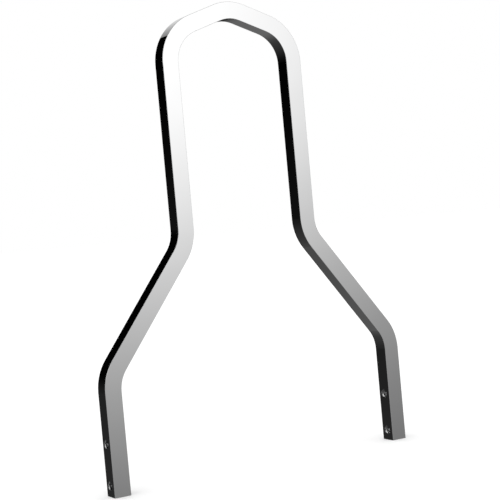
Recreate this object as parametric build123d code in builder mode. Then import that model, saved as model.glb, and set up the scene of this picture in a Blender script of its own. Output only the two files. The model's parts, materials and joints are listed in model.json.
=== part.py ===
from build123d import *
import os

# Sissy bar: one length of square steel bar, bent flat into a hoop with a pointed top and flared legs.
# Origin: on the floor of the two cut feet, midway between the legs. +Z is up, X runs from leg to leg.

# Bar stock, in millimetres
BAR_SIZE = 12.7
EDGE_RADIUS = 0.2
INSIDE_BEND_RADIUS = 24.5

# Centreline of the bends, as spacings across and heights of each stretch from the feet upwards
LEG_SPACING = 245.0
UPRIGHT_SPACING = 106.5
LEG_HEIGHT = 84.7
FLARE_HEIGHT = 89.2
UPRIGHT_HEIGHT = 154.0
PEAK_RISE = 19.3

# Tapped holes through each leg, drilled to the thread's outer diameter
HOLE_DIAMETER = 6.35
HOLE_SPACING = 29.6
FOOT_TO_FIRST_HOLE = 8.1
HOLE_EDGE_BREAK = 0.15

# Broken edge round each cut foot
FOOT_EDGE_BREAK = 0.15

# Heights of the bends' corners above the feet
hip_height = LEG_HEIGHT
waist_height = hip_height + FLARE_HEIGHT
shoulder_height = waist_height + UPRIGHT_HEIGHT
peak_height = shoulder_height + PEAK_RISE

leg_x = LEG_SPACING / 2
upright_x = UPRIGHT_SPACING / 2
bend_radius = INSIDE_BEND_RADIUS + BAR_SIZE / 2

# The drill comes out past the leg's inner face and stops there
drill_depth = 1.5 * BAR_SIZE

# Corners of the centreline, from the left foot over the peak to the right foot
left_corners = [
    (-leg_x, 0),
    (-leg_x, hip_height),
    (-upright_x, waist_height),
    (-upright_x, shoulder_height),
]
right_corners = [(-x, z) for x, z in reversed(left_corners)]
corners = left_corners + [(0, peak_height)] + right_corners

with BuildPart() as hoop_bar:
    # The bar: a square section with rounded edges, carried along the bent centreline
    with BuildLine(Plane.XZ) as centreline:
        FilletPolyline(*corners, radius=bend_radius)
    with BuildSketch(Plane(origin=(-leg_x, 0, 0), z_dir=(0, 0, 1))):
        RectangleRounded(BAR_SIZE, BAR_SIZE, EDGE_RADIUS)
    sweep(path=centreline.line)

    # The cut feet lose their sharp edge
    feet = hoop_bar.faces().filter_by(Axis.Z).group_by(Axis.Z)[0]
    chamfer(feet.edges(), length=FOOT_EDGE_BREAK)

    # Two holes right through each leg, one above the other and square to the leg's outer face.
    # Their mouths lose their sharp edge too.
    for outward in (-1, 1):
        outer_face = Plane(
            origin=(outward * (leg_x + BAR_SIZE / 2), 0, FOOT_TO_FIRST_HOLE + HOLE_SPACING / 2),
            x_dir=(0, 0, 1),
            z_dir=(outward, 0, 0),
        )
        with Locations(outer_face):
            with GridLocations(HOLE_SPACING, 0, 2, 1):
                Hole(HOLE_DIAMETER / 2, depth=drill_depth)
        mouths = hoop_bar.edges(Select.LAST).filter_by(GeomType.CIRCLE)
        chamfer(mouths, length=HOLE_EDGE_BREAK)

hoop_bar.part.label = "hoop_bar"

os.makedirs("parts", exist_ok=True)
export_step(hoop_bar.part, "parts/hoop_bar.step")
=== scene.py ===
import json
import math
from collections import namedtuple

import bmesh
import bpy
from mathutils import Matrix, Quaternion, Vector

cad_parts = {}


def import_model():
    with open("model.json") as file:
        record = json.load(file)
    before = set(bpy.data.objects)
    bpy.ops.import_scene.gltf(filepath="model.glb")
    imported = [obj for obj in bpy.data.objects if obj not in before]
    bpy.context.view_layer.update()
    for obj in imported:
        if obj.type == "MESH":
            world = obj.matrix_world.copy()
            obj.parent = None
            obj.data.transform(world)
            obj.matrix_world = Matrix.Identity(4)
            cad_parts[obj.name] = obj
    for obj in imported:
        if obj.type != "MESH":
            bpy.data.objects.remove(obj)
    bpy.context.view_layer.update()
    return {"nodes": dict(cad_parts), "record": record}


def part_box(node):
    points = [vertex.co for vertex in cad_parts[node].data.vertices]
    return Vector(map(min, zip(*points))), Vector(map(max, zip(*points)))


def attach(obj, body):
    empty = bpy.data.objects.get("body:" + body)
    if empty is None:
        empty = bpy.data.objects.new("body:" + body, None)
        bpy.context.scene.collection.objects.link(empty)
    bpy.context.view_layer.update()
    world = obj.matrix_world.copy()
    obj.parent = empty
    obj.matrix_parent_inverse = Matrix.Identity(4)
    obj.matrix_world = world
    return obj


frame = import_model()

# Sissy bar: a polished, chrome-plated square bar bent into a hoop, on white in a plain studio.
# The bar is the CAD node itself with a chrome finish. The threads in its four holes are made here.
# Lengths are in metres and angles in degrees. Azimuths go from +X towards +Y, and the front is at -Y.

BAR = "hoop_bar"
MILLIMETRE = 0.001
FULL_TURN = 360.0

# Camera at the photo's view: where it looks, from which side, its roll, how far away it is, and its lens
AIM = Vector((0.0019, -0.0018, 0.1643))
VIEW_AZIMUTH = -120.412
VIEW_ELEVATION = 1.353
VIEW_ROLL = 5.187
VIEW_DISTANCE = 0.9407
SENSOR_WIDTH = 36.0
LENS = 89.39

# Chrome: two close tints, polishing lines with their range of roughness, and slight waves.
# A pair that is named NOISE is the part of the noise's range that is spread out.
TINT_DULL = (0.888, 0.889, 0.891, 1.0)
TINT_BRIGHT = (0.908, 0.909, 0.911, 1.0)
TINT_SCALE = 22.0
TINT_NOISE = (0.35, 0.65)
LINE_SCALE = 1400.0
LINE_STRETCH = (1.0, 0.06, 1.0)
LINE_NOISE = (0.3, 0.7)
LINE_ROUGHNESS = (0.012, 0.030)
WAVE_SCALE = 45.0
WAVE_STRENGTH = 0.25
WAVE_HEIGHT = 0.00004

# Cut thread in the holes: a quarter-inch coarse thread's ridge, whose foot is sunk into the hole's wall
THREAD_PITCH = 0.00127
THREAD_HEIGHT = 0.00062
THREAD_ROOT_WIDTH = 0.00111
THREAD_CREST_WIDTH = 0.00038
THREAD_SUNK = 0.00003
# How far inside each mouth the ridge is cut off, and the steps in one turn
THREAD_INSET = 0.00016
THREAD_STEPS = 56
# Where the ridge's turn is at the hole's middle, from +Y towards +Z
THREAD_STARTS = {"left": 165.0, "right": 50.0}
SHARP_ANGLE = 30.0
MERGE_DISTANCE = 0.000002

# Studio sphere that the cards are bent to, and the step between their points
STUDIO_CENTRE = Vector((0.0, 0.0, 0.176))
STUDIO_RADIUS = 6.0
CARD_STEP = 3.0

# Azimuths where the cards meet, from the right-hand end of the front card round to its left-hand end
RIGHT_EDGE = -36.0
BACK_EDGE = 22.0
MIDDLE_EDGE = 50.0
SIDE_EDGE = 94.0
LEFT_EDGE = 130.0
NEAR_EDGE = 190.0
FRONT_EDGE = 248.0

# Elevations where the cards meet
LOW_EDGE = -26.0
BACK_STEP = 8.0
LEFT_STEP = 12.0
HIGH_EDGE = 48.0
POLE = 89.9

# Soft glows on the cards: the middle's place and level, the angle to half level, and the fall-off's power
Glow = namedtuple("Glow", "azimuth elevation level half_angle power")
LOW_GLOWS = (
    Glow(-75.0, -32.0, 0.50, 10.0, 8.0),  # Low in front
    Glow(-40.0, -27.0, 0.55, 11.0, 8.0),  # Low in front, towards the right
)
FRONT_GLOWS = (
    Glow(-66.57, 14.20, 1.16, 18.38, 3.322),  # The big light that the front face mirrors in the photo
    Glow(-92.0, -3.0, 0.44, 12.0, 8.0),  # Straight in front
) + LOW_GLOWS
BACK_GLOW = Glow(40.0, 14.0, 0.75, 45.5, 5.2)
DARK_GLOWS = (
    Glow(54.9, -44.9, 0.132, 29.8, 5.53),  # Low at the back
    Glow(85.0, -5.0, 0.62, 13.5, 9.0),  # Straight behind
    Glow(198.0, -8.0, 0.22, 16.0, 6.0),  # On the left
    Glow(222.0, -32.0, 0.45, 20.0, 6.0),  # Low beside the camera
    Glow(249.0, 2.0, 0.40, 16.0, 4.0),  # Close to the camera
    Glow(155.0, -34.0, 0.09, 20.0, 8.0),  # Low on the left
    Glow(-80.0, -58.0, 0.70, 22.0, 5.0),  # Very low in front
    Glow(0.0, -27.0, 0.50, 12.0, 6.0),  # Low on the right
    Glow(100.0, 74.0, 0.55, 11.0, 5.0),  # Overhead
) + LOW_GLOWS

# Fades on the cards: from a low elevation up to a high one, with the level below and the level above
Fade = namedtuple("Fade", "low high below above")
UPPER_FADE = Fade(-26.5, 10.5, 0.027, 0.0)
LOWER_FADE = Fade(-62.0, -36.0, 0.070, 0.0)
LEFT_FADE = Fade(-12.0, 8.0, 0.0, 0.70)
HIGH_FADE = Fade(8.0, 48.0, 0.96, 0.60)
# Taken off the level of a card that has fades, so that the glows' far tails leave its black parts black
GLOW_TAIL = 0.0007

# Light and floor
WORLD_FILL = 1.05
KEY_STRENGTH = 0.45
KEY_ANGLE = 70.0
KEY_PLACE = Vector((-0.5, -0.6, 2.0))
FLOOR_RADIUS = 20.0
FLOOR_STEP = 5
FLOOR_TONES = (0.94, 0.96)
FLOOR_SCALE = 3.0
FLOOR_NOISE = (0.3, 0.7)


# Scene helpers

def direction(azimuth, elevation):
    """The unit vector at an azimuth and an elevation."""
    a, e = math.radians(azimuth), math.radians(elevation)
    return Vector((math.cos(e) * math.cos(a), math.cos(e) * math.sin(a), math.sin(e)))


def new_piece(name, data):
    """A new object in the scene."""
    piece = bpy.data.objects.new(name, data)
    bpy.context.scene.collection.objects.link(piece)
    return piece


def new_mesh(name, points, wide, rings=False):
    """A mesh of four-cornered faces between equally wide rows of points, or between rings of them."""
    faces = []
    for start in range(0, len(points) - wide, wide):
        for i in range(wide if rings else wide - 1):
            a, b = start + i, start + (i + 1) % wide
            faces.append((a, b, b + wide, a + wide))
    mesh = bpy.data.meshes.new(name)
    mesh.from_pydata(points, [], faces)
    return mesh


def aim_along(piece, way, roll=0.0):
    """Turns a camera or a lamp to look along a way, with a roll about that way."""
    piece.rotation_mode = "QUATERNION"
    piece.rotation_quaternion = way.to_track_quat("-Z", "Y") @ Quaternion((0, 0, 1), math.radians(roll))


# Node helpers

def new_tree(owner, output):
    """The emptied node tree of a material or a world, and its new output node."""
    owner.use_nodes = True
    tree = owner.node_tree
    tree.nodes.clear()
    return tree, tree.nodes.new(output)


def feed(tree, socket, value):
    """Puts a number, or another node's output, on a socket."""
    if isinstance(value, bpy.types.NodeSocket):
        tree.links.new(value, socket)
    else:
        socket.default_value = value


def calc(tree, operation, first, second=0.0):
    """One step of arithmetic as a node."""
    node = tree.nodes.new("ShaderNodeMath")
    node.operation = operation
    feed(tree, node.inputs[0], first)
    feed(tree, node.inputs[1], second)
    return node.outputs[0]


def vector_calc(tree, operation, first, second=None):
    """One step of vector arithmetic as a node."""
    node = tree.nodes.new("ShaderNodeVectorMath")
    node.operation = operation
    feed(tree, node.inputs[0], first)
    if second is not None:
        feed(tree, node.inputs[1], second)
    return node.outputs["Value"] if operation == "DOT_PRODUCT" else node.outputs["Vector"]


def spread(tree, value, from_low, from_high, to_low, to_high, smooth=False):
    """Maps a value from one range to another."""
    node = tree.nodes.new("ShaderNodeMapRange")
    node.interpolation_type = "SMOOTHSTEP" if smooth else "LINEAR"
    names = ("From Min", "From Max", "To Min", "To Max")
    for name, number in zip(names, (from_low, from_high, to_low, to_high)):
        node.inputs[name].default_value = number
    feed(tree, node.inputs["Value"], value)
    return node.outputs["Result"]


def noise(tree, place, scale, detail):
    """Smooth noise at a place, as a value round one half."""
    node = tree.nodes.new("ShaderNodeTexNoise")
    node.inputs["Scale"].default_value = scale
    node.inputs["Detail"].default_value = detail
    feed(tree, node.inputs["Vector"], place)
    return node.outputs["Fac"]


# Chrome

def chrome():
    """Bright polished chrome: a neutral mirror with fine polishing lines and a very slight waviness."""
    material = bpy.data.materials.new("polished_chrome")
    tree, output = new_tree(material, "ShaderNodeOutputMaterial")
    shader = tree.nodes.new("ShaderNodeBsdfPrincipled")
    shader.inputs["Metallic"].default_value = 1.0
    place = tree.nodes.new("ShaderNodeTexCoord").outputs["Object"]

    # Plating that is a touch brighter in places
    tint = tree.nodes.new("ShaderNodeMixRGB")
    tint.inputs[1].default_value = TINT_DULL
    tint.inputs[2].default_value = TINT_BRIGHT
    patches = noise(tree, place, TINT_SCALE, detail=2.0)
    feed(tree, tint.inputs[0], spread(tree, patches, *TINT_NOISE, 0.0, 1.0))
    feed(tree, shader.inputs["Base Color"], tint.outputs[0])

    # Fine polishing lines, drawn out from front to back
    stretch = tree.nodes.new("ShaderNodeMapping")
    stretch.inputs["Scale"].default_value = LINE_STRETCH
    feed(tree, stretch.inputs["Vector"], place)
    lines = noise(tree, stretch.outputs[0], LINE_SCALE, detail=3.0)
    feed(tree, shader.inputs["Roughness"], spread(tree, lines, *LINE_NOISE, *LINE_ROUGHNESS))

    # A hand-polished surface is never quite flat
    waves = noise(tree, place, WAVE_SCALE, detail=1.0)
    bump = tree.nodes.new("ShaderNodeBump")
    bump.inputs["Strength"].default_value = WAVE_STRENGTH
    bump.inputs["Distance"].default_value = WAVE_HEIGHT
    feed(tree, bump.inputs["Height"], waves)
    feed(tree, shader.inputs["Normal"], bump.outputs[0])
    tree.links.new(shader.outputs[0], output.inputs["Surface"])
    return material


# Threads

def ridge_radius(offset, root, crest):
    """The ridge's distance from the hole's axis, at an offset along the axis from the ridge's middle."""
    flank = (THREAD_ROOT_WIDTH - THREAD_CREST_WIDTH) / 2
    rise = (THREAD_ROOT_WIDTH / 2 - abs(offset)) / flank
    return root + (crest - root) * min(max(rise, 0.0), 1.0)


def ridge_section(along, limit, root, crest):
    """The ridge's section, as places along the axis with their radii, held between the two cut ends."""
    half_root, half_crest = THREAD_ROOT_WIDTH / 2, THREAD_CREST_WIDTH / 2
    sides = (-half_root, -half_crest, half_crest, half_root)
    places = [min(max(along + side, -limit), limit) for side in sides]
    section = [(place, ridge_radius(place - along, root, crest)) for place in places]
    return [(places[0], root)] + section + [(places[-1], root)]


def close_up(mesh):
    """Joins the points that fall together into one closed skin, and turns its faces outwards."""
    skin = bmesh.new()
    skin.from_mesh(mesh)
    bmesh.ops.remove_doubles(skin, verts=skin.verts, dist=MERGE_DISTANCE)
    bmesh.ops.dissolve_degenerate(skin, edges=skin.edges, dist=MERGE_DISTANCE)
    bmesh.ops.recalc_face_normals(skin, faces=skin.faces)
    skin.to_mesh(mesh)
    skin.free()


def thread_ridge(name, middle, hole_radius, depth, start):
    """A cut thread's ridge that winds along X through one hole, cut off flat just inside both mouths."""
    root = hole_radius + THREAD_SUNK
    crest = hole_radius - THREAD_HEIGHT
    limit = depth / 2 - THREAD_INSET
    reach = limit + THREAD_ROOT_WIDTH / 2
    count = round(2 * reach / THREAD_PITCH * THREAD_STEPS)
    points = []
    for i in range(count + 1):
        along = reach * (2 * i / count - 1)
        angle = math.radians(start + FULL_TURN * along / THREAD_PITCH)
        outward = Vector((0, math.cos(angle), math.sin(angle)))
        section = ridge_section(along, limit, root, crest)
        points += [middle + Vector((place, 0, 0)) + outward * radius for place, radius in section]
    mesh = new_mesh(name, points, len(section), rings=True)
    close_up(mesh)
    mesh.shade_smooth()
    mesh.set_sharp_from_angle(angle=math.radians(SHARP_ANGLE))
    return new_piece(name, mesh)


def threads(finish):
    """The four threads, one in each hole that the record's two bolt mounts give."""
    low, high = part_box(BAR)
    depth = high.y - low.y
    for mount in frame["record"]["mounts"]:
        side = mount["name"].split("_")[0]
        outward = Vector(mount["axis"])
        face = Vector(mount["pos_m"])
        sizes = mount["dims"]
        half_step = Vector((0, 0, sizes["spacing_y_mm"] * MILLIMETRE / 2))
        hole_radius = sizes["hole_r_mm"] * MILLIMETRE
        for level, step in (("lower", -half_step), ("upper", half_step)):
            name = "thread_" + side + "_" + level
            middle = face + step - outward * depth / 2
            piece = thread_ridge(name, middle, hole_radius, depth, THREAD_STARTS[side])
            piece.data.materials.append(finish)
            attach(piece, "root")


# Studio

def card_material(name, glows, fades=()):
    """A card's own light: soft round glows, and fades that go with the height."""
    material = bpy.data.materials.new(name)
    material.cycles.emission_sampling = "NONE"
    tree, output = new_tree(material, "ShaderNodeOutputMaterial")
    place = tree.nodes.new("ShaderNodeNewGeometry").outputs["Position"]
    ray = vector_calc(tree, "NORMALIZE", vector_calc(tree, "SUBTRACT", place, STUDIO_CENTRE))
    level = 0.0
    for glow in glows:
        middle = direction(glow.azimuth, glow.elevation)
        angle = calc(tree, "ARCCOSINE", vector_calc(tree, "DOT_PRODUCT", ray, middle))
        share = calc(tree, "POWER", calc(tree, "DIVIDE", angle, math.radians(glow.half_angle)), glow.power)
        level = calc(tree, "ADD", calc(tree, "DIVIDE", glow.level, calc(tree, "ADD", share, 1.0)), level)
    if fades:
        split = tree.nodes.new("ShaderNodeSeparateXYZ")
        feed(tree, split.inputs[0], ray)
        rise = calc(tree, "DEGREES", calc(tree, "ARCSINE", split.outputs["Z"]))
        for fade in fades:
            level = calc(tree, "ADD", spread(tree, rise, *fade, smooth=True), level)
        level = calc(tree, "MAXIMUM", calc(tree, "SUBTRACT", level, GLOW_TAIL), 0.0)
        level = calc(tree, "MINIMUM", level, 1.0)
    shader = tree.nodes.new("ShaderNodeEmission")
    feed(tree, shader.inputs["Strength"], level)
    tree.links.new(shader.outputs[0], output.inputs["Surface"])
    return material


def steps(start, end):
    """Even steps of about CARD_STEP from start to end."""
    count = max(2, round(abs(end - start) / CARD_STEP))
    return [start + (end - start) * i / count for i in range(count + 1)]


def card(name, azimuths, elevations, material):
    """A card between two azimuths and two elevations of the studio sphere, that only the metal mirrors."""
    turns = steps(*azimuths)
    points = [STUDIO_CENTRE + STUDIO_RADIUS * direction(a, e) for e in steps(*elevations) for a in turns]
    mesh = new_mesh(name, points, len(turns))
    mesh.shade_smooth()
    mesh.materials.append(material)
    piece = new_piece(name, mesh)
    piece.visible_camera = False
    piece.visible_diffuse = False
    piece.visible_transmission = False
    piece.visible_shadow = False


def cards():
    """The cards that the chrome mirrors, which close the sphere all round."""
    front = card_material("front_card", FRONT_GLOWS)
    bright = card_material("back_card", [BACK_GLOW])
    dark = card_material("dark_card", DARK_GLOWS, [UPPER_FADE, LOWER_FADE])
    left = card_material("left_card", DARK_GLOWS, [UPPER_FADE, LOWER_FADE, LEFT_FADE])
    high = card_material("high_card", [], [HIGH_FADE])

    # Light in front, at the back and high on the left
    card("front_card", (FRONT_EDGE - FULL_TURN, RIGHT_EDGE), (LOW_EDGE, HIGH_EDGE), front)
    card("back_card", (BACK_EDGE, MIDDLE_EDGE), (LOW_EDGE, HIGH_EDGE), bright)
    card("back_high_card", (MIDDLE_EDGE, SIDE_EDGE), (BACK_STEP, HIGH_EDGE), bright)
    card("high_card", (LEFT_EDGE, FRONT_EDGE), (LEFT_STEP, HIGH_EDGE), high)

    # Mostly dark elsewhere. The card on the left turns light towards its top.
    card("right_card", (RIGHT_EDGE, BACK_EDGE), (LOW_EDGE, HIGH_EDGE), dark)
    card("back_low_card", (MIDDLE_EDGE, SIDE_EDGE), (LOW_EDGE, BACK_STEP), dark)
    card("side_card", (SIDE_EDGE, LEFT_EDGE), (LOW_EDGE, HIGH_EDGE), dark)
    card("left_card", (LEFT_EDGE, NEAR_EDGE), (LOW_EDGE, LEFT_STEP), left)
    card("near_card", (NEAR_EDGE, FRONT_EDGE), (LOW_EDGE, LEFT_STEP), dark)
    card("under_card", (-FULL_TURN / 2, FULL_TURN / 2), (-POLE, LOW_EDGE), dark)
    card("over_card", (-FULL_TURN / 2, FULL_TURN / 2), (HIGH_EDGE, POLE), dark)


def floor():
    """A plain pale floor that keeps the object's soft shadow."""
    material = bpy.data.materials.new("pale_floor")
    tree, output = new_tree(material, "ShaderNodeOutputMaterial")
    shader = tree.nodes.new("ShaderNodeBsdfDiffuse")
    place = tree.nodes.new("ShaderNodeTexCoord").outputs["Object"]
    grain = noise(tree, place, FLOOR_SCALE, detail=2.0)
    feed(tree, shader.inputs["Color"], spread(tree, grain, *FLOOR_NOISE, *FLOOR_TONES))
    tree.links.new(shader.outputs[0], output.inputs["Surface"])
    rim = [direction(turn, 0.0) * FLOOR_RADIUS for turn in range(0, 360, FLOOR_STEP)]
    mesh = bpy.data.meshes.new("floor")
    mesh.from_pydata(rim, [], [tuple(range(len(rim)))])
    mesh.materials.append(material)
    piece = new_piece("floor", mesh)
    piece.visible_glossy = False


def world():
    """White for the camera and for mirrored rays that pass the cards, and a plain level for the floor."""
    sky = bpy.data.worlds.new("white_studio")
    bpy.context.scene.world = sky
    tree, output = new_tree(sky, "ShaderNodeOutputWorld")
    back = tree.nodes.new("ShaderNodeBackground")
    back.inputs["Color"].default_value = (1, 1, 1, 1)
    path = tree.nodes.new("ShaderNodeLightPath").outputs
    seen = calc(tree, "MAXIMUM", path["Is Camera Ray"], path["Is Glossy Ray"])
    seen = calc(tree, "MAXIMUM", seen, path["Is Transmission Ray"])
    feed(tree, back.inputs["Strength"], spread(tree, seen, 0.0, 1.0, WORLD_FILL, 1.0))
    tree.links.new(back.outputs[0], output.inputs["Surface"])


def key_light():
    """One broad soft light overhead, for the shadow."""
    lamp = bpy.data.lights.new("key", "SUN")
    lamp.angle = math.radians(KEY_ANGLE)
    lamp.energy = KEY_STRENGTH
    piece = new_piece("key", lamp)
    piece.location = KEY_PLACE
    aim_along(piece, -KEY_PLACE)
    piece.visible_glossy = False


def camera():
    """The photo's camera."""
    lens = bpy.data.cameras.new("camera")
    lens.sensor_width = SENSOR_WIDTH
    lens.lens = LENS
    piece = new_piece("camera", lens)
    back = direction(VIEW_AZIMUTH, VIEW_ELEVATION)
    piece.location = AIM + back * VIEW_DISTANCE
    aim_along(piece, -back, -VIEW_ROLL)
    bpy.context.scene.camera = piece


camera()
bpy.context.scene.view_settings.view_transform = "Standard"
finish = chrome()
frame["nodes"][BAR].material_slots[0].material = finish
threads(finish)
cards()
floor()
world()
key_light()
